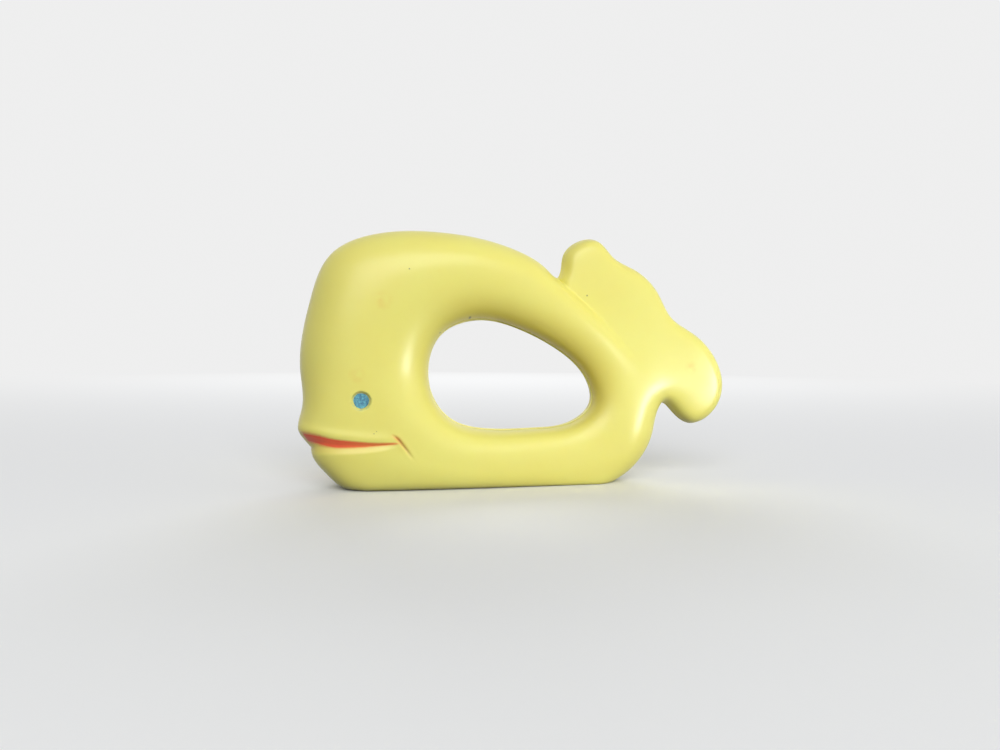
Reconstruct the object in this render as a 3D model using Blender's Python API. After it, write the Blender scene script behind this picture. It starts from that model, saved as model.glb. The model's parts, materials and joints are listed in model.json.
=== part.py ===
"""A whale baby rattle: two hollow half shells welded round a finger hole, with painted eyes
and mouths and loose pellets inside. Metres, +Z up. The whale faces -X and stands on Z = 0."""

import bmesh
import bpy
import numpy as np

MM = 0.001

# Side view, millimetres
HOLE_LENGTH = 49.6
HOLE_HEIGHT = 32.6
BAR_HEIGHT = 15.8
HEAD_LENGTH = 36.1
BACK_HEIGHT = 24.7
STOCK_WIDTH = 21.0
BASE_FRONT = 21.8
BASE_REAR = 3.8
JAW_HEIGHT = 11.8
LIP_HEIGHT = 10.3
UPPER_LOBE = 29.2
LOWER_LOBE = 36.9
FLUKE_DEPTH = 22.7

# Thickness and rounding
HEAD_THICK = 25.0
TAIL_THICK = 16.4
FLUKE_THICK = 10.6
BASE_WIDTH = 12.0
BASE_BLEND = 9.0
FLUKE_ROUND = 3.2
FLUKE_DOME = 12.0
CREASE_FILLET = 1.4
CREASE_FADE = 20.0
NOTCH_FILLET = 1.6
SEAM_LAND = 0.8

# Walls and the tongue that locates the two halves
WALL = 2.2
TONGUE_HEIGHT = 1.2
FIT_GAP = 0.3
SEAM_GAP = 0.1

# Face
EYE_DIAMETER = 5.0
EYE_FLOOR = 4.2
EYE_DEPTH = 1.1
EYE_BACK = 17.6
EYE_HEIGHT = 25.7
MOUTH_LENGTH = 27.6
MOUTH_FRONT = 0.6
MOUTH_END = 0.15
MOUTH_GAPE = 2.7
MOUTH_DEPTH = 1.2
SMILE_LENGTH = 7.6
SMILE_WIDTH = 0.9
SMILE_BOW = 0.8
SMILE_DEPTH = 0.6
PAINT_THICK = 0.4
CUTTER_RISE = 4.0

# Rattle pellets
PELLET_DIAMETER = 5.0
PELLET_GAP = 0.5
PELLET_FRONT = 2.8
BAR_PELLET_SET_BACK = 15.6

# Fineness of the shells' grid
EDGE_DEPTHS = (0.0, 0.15, 0.8)
OUTER_ROWS = 10
INNER_ROWS = 8
GRID_ROWS = 32
RELAX_STEPS = 800
EVEN_STEPS = 8
STEPS = 3
BASE_STEPS = 8
LEAF_ROOT = 0.4

# Roundness of the cross-sections: 2 is an ellipse, and more is squarer
BODY_POWER = 2.2
BAR_POWER = 3.0
FLUKE_POWER = 2.2
DOME_SHARE = 0.25
RIDGE_SHARE = 0.38

# Edges that the outlines hang on
LEFT = -HOLE_LENGTH / 2
RIGHT = HOLE_LENGTH / 2
LOW = BAR_HEIGHT
HIGH = BAR_HEIGHT + HOLE_HEIGHT
SNOUT = LEFT - HEAD_LENGTH
CROWN = HIGH + BACK_HEIGHT
FLUKE_TOP = np.array((LEFT + 0.782 * HOLE_LENGTH, HIGH + 0.457 * BACK_HEIGHT))
FLUKE_FOOT = np.array((RIGHT + 1.024 * STOCK_WIDTH, LOW + 0.27 * HOLE_HEIGHT))
ROOT = FLUKE_FOOT - FLUKE_TOP
FLUKE_OUT = np.array((-ROOT[1], ROOT[0])) / np.linalg.norm(ROOT)
FOCUS = np.array((LEFT + 0.768 * HOLE_LENGTH, LOW + 0.43 * HOLE_HEIGHT))

YELLOW = (0.84, 0.78, 0.27, 1.0)
BLUE = (0.10, 0.30, 0.42, 1.0)
RED = (0.70, 0.10, 0.045, 1.0)
CREAM = (0.80, 0.76, 0.62, 1.0)


def curve(points, steps=STEPS, start=None, end=None):
    """A cubic spline through the points, without its last point. An end is free unless its direction
    is given."""
    points = np.array(points, float)
    gaps = np.linalg.norm(np.diff(points, axis=0), axis=1)
    slopes = np.diff(points, axis=0) / gaps[:, None]
    count = len(points)
    matrix = np.zeros((count, count))
    target = np.zeros((count, 2))
    for i in range(1, count - 1):
        matrix[i, i - 1:i + 2] = gaps[i], 2 * (gaps[i - 1] + gaps[i]), gaps[i - 1]
        target[i] = 3 * (gaps[i] * slopes[i - 1] + gaps[i - 1] * slopes[i])
    matrix[0, :2] = (2, 1) if start is None else (1, 0)
    target[0] = 3 * slopes[0] if start is None else start
    matrix[-1, -2:] = (1, 2) if end is None else (0, 1)
    target[-1] = 3 * slopes[-1] if end is None else end
    tangents = np.linalg.solve(matrix, target)
    t = np.tile(np.arange(steps) / steps, count - 1)[:, None]
    i = np.repeat(np.arange(count - 1), steps)
    h = gaps[i][:, None]
    return ((1 + 2 * t) * (1 - t) ** 2 * points[i] + t * (1 - t) ** 2 * h * tangents[i]
            + t ** 2 * (3 - 2 * t) * points[i + 1] + t ** 2 * (t - 1) * h * tangents[i + 1])


def closed_curve(points, steps):
    """A smooth closed curve: a spline of three turns, of which the middle one is kept."""
    count = len(points) * steps
    return curve(points * 3 + points[:1], steps)[count:2 * count]


def back_points():
    """The upper outline, from the corner of the jaw over lip, forehead and crown towards the fluke."""
    brow = JAW_HEIGHT + LIP_HEIGHT
    face = [(0.097, 0.0), (0.042, 0.214), (0.0, 0.5), (0.025, 1.0)]
    forehead = [(0.017, 0.216), (0.094, 0.608), (0.252, 0.861), (0.612, 0.98)]
    back = [(0.03, 0.996), (0.548, 0.783), (0.702, 0.591)]
    points = [(SNOUT + a * HEAD_LENGTH, JAW_HEIGHT + b * LIP_HEIGHT) for a, b in face]
    points += [(SNOUT + a * HEAD_LENGTH, brow + b * (CROWN - brow)) for a, b in forehead]
    return points + [(LEFT + a * HOLE_LENGTH, HIGH + b * BACK_HEIGHT) for a, b in back]


def fluke_points():
    """The fluke's outline between its two roots: upper lobe, outer notch and lower lobe."""
    middle = (FLUKE_TOP + FLUKE_FOOT) / 2
    along = np.array((FLUKE_OUT[1], -FLUKE_OUT[0]))
    upper = [(-0.973, 0.278), (-0.961, 0.584), (-0.859, 0.733), (-0.621, 0.757), (-0.391, 0.862),
             (-0.036, 0.905)]
    lower = [(0.195, 0.829), (0.43, 0.92), (0.725, 0.92), (0.915, 0.765), (1.028, 0.39), (0.965, 0.09),
             (0.79, 0.02)]
    lobes = [(a * UPPER_LOBE, b * FLUKE_DEPTH) for a, b in upper]
    lobes += [(a * LOWER_LOBE, b * FLUKE_DEPTH) for a, b in lower]
    return [tuple(middle + a * along + b * FLUKE_OUT) for a, b in lobes]


def heel_points():
    """The tail stock's rear edge, from below the fluke to the rear end of the base."""
    heel = [(RIGHT + a * STOCK_WIDTH, b * LOW) for a, b in [(0.876, 0.905), (0.624, 0.316)]]
    return heel + [(RIGHT + BASE_REAR, 0.0)]


def notch_points(before, corner, after):
    """Three points of the fillet arc in the sharp corner between two edges."""
    arms = [np.subtract(end, corner) for end in (before, after)]
    arms = [arm / np.linalg.norm(arm) for arm in arms]
    bisector = arms[0] + arms[1]
    half_angle = np.arccos(np.linalg.norm(bisector) / 2)
    reach = NOTCH_FILLET * (1 / np.cos(half_angle) - np.tan(half_angle))
    middle = corner + reach * bisector / np.linalg.norm(bisector)
    ends = [tuple(corner + NOTCH_FILLET * arm) for arm in arms]
    return [ends[0], tuple(middle), ends[1]]


def neck_points():
    """The body's own edge where the fluke covers it."""
    middle = [(RIGHT + a * STOCK_WIDTH, LOW + b * HOLE_HEIGHT) for a, b in [(0.29, 0.883), (0.82, 0.466)]]
    return [tuple(FLUKE_TOP)] + middle + [tuple(FLUKE_FOOT)]


def neck_outline(count):
    """Evenly spaced points along the neck, as many as the fluke's outline has."""
    fine = np.vstack((curve(neck_points(), 60), FLUKE_FOOT))
    place = np.arange(count) / count * (len(fine) - 1)
    return np.stack([np.interp(place, np.arange(len(fine)), fine[:, k]) for k in (0, 1)], axis=1)


def under_outline():
    """The straight base and the chin, back to the corner of the jaw."""
    front = (LEFT - BASE_FRONT, 0.0)
    base = np.linspace((RIGHT + BASE_REAR, 0.0), front, BASE_STEPS, endpoint=False)
    bend = (SNOUT + 0.21 * HEAD_LENGTH, 0.375 * JAW_HEIGHT)
    chin = curve([front, bend, back_points()[0]], start=(-1.0, 0.0), end=(0.1, 1.0))
    return np.concatenate((base, chin))


def hole_points():
    """The egg-shaped finger hole, clockwise from its left end."""
    egg = [(0.0, 0.54), (0.079, 0.868), (0.27, 1.0), (0.528, 0.93), (0.77, 0.748), (0.968, 0.451),
           (0.994, 0.233), (0.899, 0.08), (0.637, 0.006), (0.319, 0.009), (0.149, 0.086), (0.026, 0.313)]
    return [(LEFT + a * HOLE_LENGTH, LOW + b * HOLE_HEIGHT) for a, b in egg]


def outer_edge():
    """The outline clockwise from the corner of the jaw, and the stretch of it that is the fluke's."""
    back, fluke, heel = back_points(), fluke_points(), heel_points()
    top = notch_points(back[-1], FLUKE_TOP, fluke[0])
    foot = notch_points(fluke[-1], FLUKE_FOOT, heel[0])
    upper = curve(back + top + fluke + foot + heel, end=(-1.0, 0.0))
    first = (len(back) + 1) * STEPS
    last = first + (len(fluke) + 3) * STEPS
    return np.concatenate((upper, under_outline())), slice(first, last)


OUTLINE, FLUKE = outer_edge()
NECK = neck_outline(FLUKE.stop - FLUKE.start)
RING = OUTLINE.copy()
RING[FLUKE] = NECK
LEAF = np.concatenate((OUTLINE[FLUKE], NECK[::-1] + LEAF_ROOT * (FOCUS - NECK[::-1])))
HOLE = closed_curve(hole_points(), 8)
CENTRE = (OUTLINE[:, 0].min() + OUTLINE[:, 0].max()) / 2


def distance(points, loop):
    """A smooth distance to a closed line: half the line's integral of 1 / r^3, to the power -1/2.
    Beside a straight edge it is the plain distance, and it has no ridge where two edges are as near."""
    step = np.roll(loop, -1, axis=0) - loop
    length = np.maximum(np.linalg.norm(step, axis=1), 1e-6)
    to_point = points[:, None] - loop[None]
    along = -np.einsum("psk,sk->ps", to_point, step / length[:, None])
    square = np.maximum((to_point ** 2).sum(axis=2) - along ** 2, 1e-6)
    end = along + length
    pull = (end / np.sqrt(end ** 2 + square) - along / np.sqrt(along ** 2 + square)) / square
    return (pull.sum(axis=1) / 2) ** -0.5


def inside(points, loop):
    """Even-odd test of points against a closed line."""
    following = np.roll(loop, -1, axis=0)
    x, z = points[:, None, 0], points[:, None, 1]
    crosses = (loop[:, 1] > z) != (following[:, 1] > z)
    rise = following[:, 1] - loop[:, 1]
    rise = np.where(np.abs(rise) < 1e-9, 1e-9, rise)
    at = loop[:, 0] + (z - loop[:, 1]) * (following[:, 0] - loop[:, 0]) / rise
    return (crosses & (x < at)).sum(axis=1) % 2 == 1


def ease(value, low, high):
    """Smooth step from 0 at low to 1 at high."""
    t = np.clip((value - low) / (high - low), 0, 1)
    return t * t * (3 - 2 * t)


def rounded(share, power):
    """Rounded profile: 0 at the edge, upright there, and 1 from a share of 1 inwards."""
    return (1 - (1 - np.clip(share, 0, 1)) ** power) ** (1 / power)


def pillow(depth):
    """The fluke's profile at a depth from its edge: a rounded edge on a broad, low dome."""
    dome = DOME_SHARE * rounded(depth / FLUKE_DOME, 2.0)
    return dome + (1 - DOME_SHARE) * rounded(depth / FLUKE_ROUND, FLUKE_POWER)


def section_power(points):
    """How square the cross-section is: nearly an ellipse over head, back and tail stock, and squarer along
    jaw and bar."""
    reach = 0.2 * HOLE_LENGTH
    bar = 1 - ease(points[:, 1], LOW, LOW + 0.6 * HOLE_HEIGHT)
    bar = bar * (1 - ease(points[:, 0], RIGHT - reach, RIGHT + reach))
    return BODY_POWER + (BAR_POWER - BODY_POWER) * bar


def half_thickness(points, inset=0.0):
    """Half the whale's thickness at points of the side view, or of the same form inset on all sides. The
    body is a ring round the hole and the fluke a leaf that meets it in a crease. The crease fades towards
    the fluke's foot, where body and fluke are one smooth form."""
    x, z = points[:, 0], points[:, 1]
    thinning = ease(x, LEFT - 0.39 * HEAD_LENGTH, RIGHT + 0.28 * STOCK_WIDTH)
    full = HEAD_THICK / 2 + (TAIL_THICK - HEAD_THICK) / 2 * thinning
    front, rear = LEFT - BASE_FRONT, RIGHT + BASE_REAR
    flat = ease(x, front - 0.4 * BASE_BLEND, front + 0.6 * BASE_BLEND)
    flat = flat * (1 - ease(x, rear - 0.4 * BASE_BLEND, rear + 0.6 * BASE_BLEND))
    flat = flat * (1 - ease(z, inset, inset + BASE_BLEND))
    land = SEAM_LAND + np.maximum(BASE_WIDTH / 2 - SEAM_LAND - inset, 0) * flat
    power = section_power(points)
    to_hole = distance(points, HOLE) - inset
    leaf = FLUKE_THICK / 2 - inset

    def ring_section(to_edge):
        share = np.clip(to_edge / (to_edge + to_hole), 0, 1)
        rise = np.minimum(share / RIDGE_SHARE, (1 - share) / (1 - RIDGE_SHARE))
        return land + (full - inset - land) * rounded(rise, power)

    body = np.where(inside(points, RING), ring_section(distance(points, RING) - inset), 0)
    fluke = np.where(inside(points, LEAF), leaf * pillow(distance(points, LEAF) - inset), 0)
    blend = np.maximum(CREASE_FILLET - np.abs(body - fluke), 0) ** 2 / (4 * CREASE_FILLET)
    creased = np.maximum(body, fluke) + blend * (np.minimum(body, fluke) > 0)
    to_edge = distance(points, OUTLINE) - inset
    smooth = ring_section(to_edge)
    out = (points - FLUKE_TOP) @ FLUKE_OUT
    smooth = smooth + (leaf * pillow(to_edge) - smooth) * ease(out, -CREASE_FADE, CREASE_FADE / 2)
    fade = ease((points - FLUKE_TOP) @ ROOT / (ROOT @ ROOT), 0.3, 0.65)
    return np.maximum(creased + (smooth - creased) * fade, land)


def inward(loop):
    """Unit normals of a closed line in the side view, to the right of its direction."""
    run = np.roll(loop, -1, axis=0) - np.roll(loop, 1, axis=0)
    run = run / np.linalg.norm(run, axis=1)[:, None]
    return np.stack((run[:, 1], -run[:, 0]), axis=1)


def evened(steps):
    """Smooth a closed run of points or steps by drawing each towards its neighbours."""
    for _ in range(EVEN_STEPS):
        steps = (np.roll(steps, 1, axis=0) + 2 * steps + np.roll(steps, -1, axis=0)) / 4
    return steps


def facing_hole():
    """The hole's point that each point of the ring looks at, along rays to a focus inside the hole whose
    angles are put in order and evened out."""
    turn = np.arctan2(*(HOLE - FOCUS).T[::-1])
    order = np.argsort(turn)
    reach = np.linalg.norm(HOLE - FOCUS, axis=1)
    ray = np.sort(np.unwrap(np.arctan2(*(RING - FOCUS).T[::-1])))[::-1]
    step = evened(np.diff(ray, append=ray[0] - 2 * np.pi))
    ray = ray[0] + np.cumsum(step) - step[-1]
    radius = np.interp(ray, turn[order], reach[order], period=2 * np.pi)
    return FOCUS + radius[:, None] * np.stack((np.cos(ray), np.sin(ray)), axis=1)


def side_grid(outer, hole):
    """A grid of side-view points, rows from an outer ring to the hole. Straight lines at first, it is
    relaxed by the elliptic grid equations, which leave no two lines crossing."""
    grid = outer + np.linspace(0, 1, GRID_ROWS + 1)[:, None, None] * (hole - outer)
    for _ in range(RELAX_STEPS):
        ahead, behind = np.roll(grid, -1, axis=1), np.roll(grid, 1, axis=1)
        along = ahead - behind
        across = grid[2:] - grid[:-2]
        wide = (across ** 2).sum(axis=2)[..., None]
        long = (along[1:-1] ** 2).sum(axis=2)[..., None]
        skew = (across * along[1:-1]).sum(axis=2)[..., None]
        pull = wide * (ahead + behind)[1:-1] + long * (grid[2:] + grid[:-2])
        pull = pull - skew / 2 * (along[2:] - along[:-2])
        grid[1:-1] = pull / (2 * (wide + long))
    return grid


def rows(inset, depths, count):
    """Rings of side-view points from the outline to the hole, both inset: some at set depths along the
    outline, then those of the relaxed grid, close together at its two ends."""
    hole = facing_hole()
    ring = evened(OUTLINE + inset * inward(OUTLINE)) if inset else OUTLINE
    edge = [ring + depth * inward(ring) for depth in depths]
    grid = side_grid(edge[-1], hole - inset * inward(hole))
    place = (1 - np.cos(np.pi * np.arange(1, count + 1) / count)) / 2 * GRID_ROWS
    low = np.minimum(place.astype(int), GRID_ROWS - 1)
    return edge + list(grid[low] + (place - low)[:, None, None] * (grid[low + 1] - grid[low]))


def ring_at(points, depth):
    """Place side-view points at a depth from the middle plane."""
    return np.column_stack((points[:, 0] - CENTRE, np.broadcast_to(depth, len(points)), points[:, 1]))


def skin(inset, depths, count, least):
    """Rings of the half's surface, from the outline to the hole, no nearer the seam than least."""
    return [ring_at(p, np.maximum(half_thickness(p, inset), least)) for p in rows(inset, depths, count)]


def rim(edge, sign, tongue):
    """The seam face at an edge: a butt face, then a tongue or the rebate that takes it."""
    normal = sign * inward(edge)
    clear = FIT_GAP / 2 if tongue else -FIT_GAP / 2
    step = edge + (WALL / 2 + clear) * normal
    level = SEAM_GAP / 2 - TONGUE_HEIGHT if tongue else TONGUE_HEIGHT + FIT_GAP
    return [ring_at(edge, SEAM_GAP / 2), ring_at(step, SEAM_GAP / 2), ring_at(step, level),
            ring_at(edge + WALL * normal, level)]


def finish(name, mesh, colour, roughness, parent):
    """Make the object of a mesh, shaded smooth with sharp creases, with its own material."""
    mesh.shade_smooth()
    mesh.set_sharp_from_angle(angle=np.radians(40))
    thing = bpy.data.objects.new(name, mesh)
    bpy.context.scene.collection.objects.link(thing)
    thing.parent = parent
    if colour is not None:
        material = bpy.data.materials.new(name)
        material.use_nodes = True
        shader = material.node_tree.nodes["Principled BSDF"]
        shader.inputs["Base Color"].default_value = colour
        shader.inputs["Roughness"].default_value = roughness
        shader.inputs["Metallic"].default_value = 0.0
        mesh.materials.append(material)
    else:
        thing.hide_render = True
        thing.display_type = "WIRE"
    return thing


def mesh_of(name, points, faces):
    """A mesh of points in millimetres whose faces are turned outwards."""
    mesh = bpy.data.meshes.new(name)
    mesh.from_pydata([tuple(p) for p in points * MM], [], faces)
    work = bmesh.new()
    work.from_mesh(mesh)
    bmesh.ops.recalc_face_normals(work, faces=work.faces)
    work.to_mesh(mesh)
    work.free()
    return mesh


def grid_faces(rings, count):
    """Quads of a grid of rings that closes in both directions."""
    faces = []
    for k in range(rings):
        for i in range(count):
            j = (i + 1) % count
            low, high = k * count, (k + 1) % rings * count
            faces.append((low + i, low + j, high + j, high + i))
    return faces


def half_shell(name, side, tongue, parent):
    """One hollow half: outer skin, hole rim, inner skin and outer rim as one closed surface."""
    hole = facing_hole()
    inner_least = TONGUE_HEIGHT + 2 * FIT_GAP
    outer_skin = skin(0.0, EDGE_DEPTHS, OUTER_ROWS, SEAM_LAND)
    inner_skin = skin(WALL, EDGE_DEPTHS[:1], INNER_ROWS, inner_least)
    rings = rim(OUTLINE, 1, tongue)[::-1] + outer_skin + rim(hole, -1, tongue) + inner_skin[::-1]
    points = np.concatenate(rings) * (1, side, 1)
    mesh = mesh_of(name, points, grid_faces(len(rings), len(OUTLINE)))
    return finish(name, mesh, YELLOW, 0.28, parent)


def mouth_edges(shares, margin=0.0):
    """Upper and lower edge of the mouth wedge at shares of its length from the snout to its corner."""
    shares = np.asarray(shares, float)
    x = SNOUT + MOUTH_FRONT + MOUTH_LENGTH * shares
    middle = JAW_HEIGHT + LIP_HEIGHT * (0.184 + 0.214 * (1 - shares) ** 3)
    half = (MOUTH_GAPE * (1 - shares) ** 0.8 + MOUTH_END) / 2 - margin
    return np.stack((x, middle + half), axis=1), np.stack((x, middle - half), axis=1)


def smile_edges(shares):
    """The two sides of the short crease that crosses the mouth's corner."""
    shares = np.asarray(shares, float)
    corner = np.array((SNOUT + MOUTH_FRONT + MOUTH_LENGTH, JAW_HEIGHT + 0.184 * LIP_HEIGHT))
    along = np.array((0.62, -0.78))
    across = np.array((0.78, 0.62))
    bow = SMILE_BOW * (2 * shares - 1) ** 2
    spine = corner + np.outer((shares - 0.36) * SMILE_LENGTH, along) + np.outer(bow, across)
    half = SMILE_WIDTH / 2 * np.sqrt(np.maximum(1 - (2 * shares - 1) ** 2, 0.04))
    return spine + half[:, None] * across, spine - half[:, None] * across


def strip(name, upper, lower, floor, top, side, parent, colour):
    """A solid between two edges in the side view, from an inset floor under the skin up to an inset top."""
    edge = np.concatenate((upper, lower[::-1]))
    count = len(upper)
    below = half_thickness(edge, floor)
    above = half_thickness(edge, top) if top >= 0 else half_thickness(edge) - top
    points = np.concatenate((ring_at(edge, below), ring_at(edge, above))) * (1, side, 1)
    total = 2 * count
    faces = [(i, (i + 1) % total, total + (i + 1) % total, total + i) for i in range(total)]
    across = [(i, i + 1, total - 2 - i, total - 1 - i) for i in range(count - 1)]
    faces += across + [tuple(total + corner for corner in quad) for quad in across]
    return finish(name, mesh_of(name, points, faces), colour, 0.45, parent)


def plug(name, place, wide, narrow, floor, top, side, parent, colour):
    """A round plug along Y between two depths from the middle plane, wide at the top."""
    mesh = bpy.data.meshes.new(name)
    work = bmesh.new()
    bmesh.ops.create_cone(work, cap_ends=True, segments=28, radius1=narrow / 2 * MM, radius2=wide / 2 * MM,
                          depth=(top - floor) * MM)
    middle = (floor + top) / 2
    for vertex in work.verts:
        x, y, z = vertex.co
        vertex.co = ((place[0] - CENTRE) * MM + x, side * (middle * MM + z), place[1] * MM + y)
    work.normal_update()
    bmesh.ops.recalc_face_normals(work, faces=work.faces)
    work.to_mesh(mesh)
    work.free()
    return finish(name, mesh, colour, 0.5, parent)


def cut(target, cutter):
    """Take the cutter out of the target."""
    boolean = target.modifiers.new(cutter.name, "BOOLEAN")
    boolean.operation = "DIFFERENCE"
    boolean.solver = "MANIFOLD"
    boolean.object = cutter


def face(label, shell, side, parent):
    """The painted eye and mouth of one side, each in its own recess."""
    shares = np.linspace(0.0, 1.0, 13)
    upper, lower = mouth_edges(shares)
    cut(shell, strip(label + "_mouth_cutter", upper, lower, MOUTH_DEPTH, -CUTTER_RISE, side, parent, None))
    upper, lower = smile_edges(np.linspace(0.0, 1.0, 9))
    cut(shell, strip(label + "_smile_cutter", upper, lower, SMILE_DEPTH, -CUTTER_RISE, side, parent, None))
    upper, lower = mouth_edges(shares[2:10], FIT_GAP)
    paint_floor = MOUTH_DEPTH - FIT_GAP
    strip(label + "_mouth_paint", upper, lower, paint_floor, paint_floor - PAINT_THICK, side, parent, RED)
    eye = np.array((SNOUT + EYE_BACK, EYE_HEIGHT))
    skin_depth = half_thickness(eye[None])[0]
    floor = skin_depth - EYE_DEPTH
    flare = (EYE_DIAMETER - EYE_FLOOR) / EYE_DEPTH
    cut(shell, plug(label + "_eye_cutter", eye, EYE_FLOOR + 2 * flare * EYE_DEPTH, EYE_FLOOR, floor,
                    floor + 2 * EYE_DEPTH, side, parent, None))
    disc = EYE_FLOOR - 2 * FIT_GAP
    bottom = floor + FIT_GAP
    plug(label + "_eye_paint", eye, disc, disc, bottom, bottom + PAINT_THICK, side, parent, BLUE)


def pellet(number, x, y, parent):
    """A loose bead lying on the floor of the hollow."""
    name = f"rattle_pellet_{number}"
    mesh = bpy.data.meshes.new(name)
    work = bmesh.new()
    bmesh.ops.create_icosphere(work, subdivisions=2, radius=PELLET_DIAMETER / 2 * MM)
    work.to_mesh(mesh)
    work.free()
    bead = finish(name, mesh, CREAM, 0.4, parent)
    bead.location = ((x - CENTRE) * MM, y * MM, (WALL + PELLET_GAP + PELLET_DIAMETER / 2) * MM)


def pellets(parent):
    """One bead behind the chin, two pairs under the head and a pair in the bar below the hole."""
    pitch = PELLET_DIAMETER + PELLET_GAP
    front = LEFT - BASE_FRONT + PELLET_FRONT
    places = [(front, 0.0)]
    for x in (front + pitch, front + 2 * pitch, LEFT + BAR_PELLET_SET_BACK):
        places += [(x, -pitch / 2), (x, pitch / 2)]
    for number, (x, y) in enumerate(places, 1):
        pellet(number, x, y, parent)


def build():
    """Clear the scene and model the rattle."""
    for thing in list(bpy.data.objects):
        bpy.data.objects.remove(thing)
    rattle = bpy.data.objects.new("whale_rattle", None)
    bpy.context.scene.collection.objects.link(rattle)
    face("near", half_shell("near_half_shell", -1, True, rattle), -1, rattle)
    face("far", half_shell("far_half_shell", 1, False, rattle), 1, rattle)
    pellets(rattle)


build()
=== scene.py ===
"""Looks of a whale baby rattle: moulded yellow half shells round a finger hole, painted eyes and mouths,
and the loose beads inside. It is laid out as an add-on and run as a script on the packed part. Shapes are
worked out in millimetres and the meshes are in metres. The whale faces -X and stands on Z = 0."""

import json
from types import SimpleNamespace

import bpy
import numpy as np
from bpy.props import FloatProperty, FloatVectorProperty, PointerProperty
from bpy.types import Operator, Panel, PropertyGroup
from mathutils import Matrix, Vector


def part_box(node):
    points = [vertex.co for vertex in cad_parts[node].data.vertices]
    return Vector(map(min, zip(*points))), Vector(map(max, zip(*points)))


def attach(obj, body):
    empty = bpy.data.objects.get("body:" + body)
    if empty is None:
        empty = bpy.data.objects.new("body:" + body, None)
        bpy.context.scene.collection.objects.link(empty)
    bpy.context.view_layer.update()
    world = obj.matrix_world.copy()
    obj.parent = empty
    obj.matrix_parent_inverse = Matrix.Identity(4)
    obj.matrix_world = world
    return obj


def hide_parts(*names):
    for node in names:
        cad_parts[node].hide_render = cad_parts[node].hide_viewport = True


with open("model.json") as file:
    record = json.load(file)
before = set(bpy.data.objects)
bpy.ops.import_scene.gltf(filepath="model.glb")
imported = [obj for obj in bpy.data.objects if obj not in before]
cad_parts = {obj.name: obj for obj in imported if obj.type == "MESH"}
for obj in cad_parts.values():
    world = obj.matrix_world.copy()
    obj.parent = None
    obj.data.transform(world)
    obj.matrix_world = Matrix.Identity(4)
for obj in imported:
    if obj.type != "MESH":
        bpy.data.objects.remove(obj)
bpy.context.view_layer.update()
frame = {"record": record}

bl_info = {
    "name": "Whale rattle",
    "version": (1, 0, 0),
    "blender": (4, 5, 0),
    "location": "3D View > Sidebar > Rattle",
    "description": "Builds the visible surfaces and finishes of a whale baby rattle",
    "category": "Add Mesh",
}

MM = 0.001
SIDES = (("near", -1), ("far", 1))
SHARP_ANGLE = np.radians(50)  # edges that turn more than this stay sharp
BLOCK = 4000  # points taken at a time, to bound the memory of a whole-array step
SENSOR = 36.0  # width of the camera's sensor, millimetres

# Marks of use: side-view place and radius, millimetres
STAINS = ((-37.6, 52.8, 3.0), (-44.6, 32.6, 2.6), (54.1, 34.3, 2.4))
SPECKS = ((-30.6, 61.4, 0.28), (21.4, 55.4, 0.34), (-40.1, 16.6, 0.2), (-39.4, 17.2, 0.16),
          (-12.9, 48.6, 0.5))
# From where to where the mouth's paint thins along the part's X, millimetres
MOUTH_THINNING = (-52.0, -37.0)


def length(name, description, millimetres):
    """A size property, given in millimetres and kept in metres."""
    return FloatProperty(name=name, description=description, default=millimetres * MM, unit="LENGTH")


def colour(name, description, red, green, blue):
    """A linear colour property."""
    return FloatVectorProperty(name=name, description=description, default=(red, green, blue), size=3,
                               min=0.0, max=1.0, subtype="COLOR")


def in_degrees(name, description, degrees):
    """An angle property, given in degrees."""
    return FloatProperty(name=name, description=description, default=np.radians(degrees), subtype="ANGLE")


class SideSizes(PropertyGroup):
    """Sizes of the whale's side view"""

    hole_length: length("Hole length", "Length of the finger hole", 49.6)
    hole_height: length("Hole height", "Height of the finger hole", 32.6)
    bar_height: length("Bar height", "Height of the bar under the finger hole", 15.8)
    head_length: length("Head length", "From the snout to the finger hole", 36.1)
    back_height: length("Back height", "From the finger hole to the crown", 24.7)
    stock_width: length("Stock width", "Width of the tail stock behind the finger hole", 21.0)
    base_front: length("Base front", "How far the flat base runs ahead of the finger hole", 21.8)
    base_rear: length("Base rear", "How far the flat base runs behind the finger hole", 3.8)
    jaw_height: length("Jaw height", "Height of the corner between jaw and upper lip", 11.8)
    lip_height: length("Lip height", "Height of the upper lip's roll", 10.3)
    upper_lobe: length("Upper lobe", "Length of the fluke's upper lobe", 29.2)
    lower_lobe: length("Lower lobe", "Length of the fluke's lower lobe", 36.9)
    fluke_depth: length("Fluke depth", "Depth of the fluke from its root", 22.7)
    notch_fillet: length("Notch fillet", "Fillet in the corners at the fluke's roots", 1.6)


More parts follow.
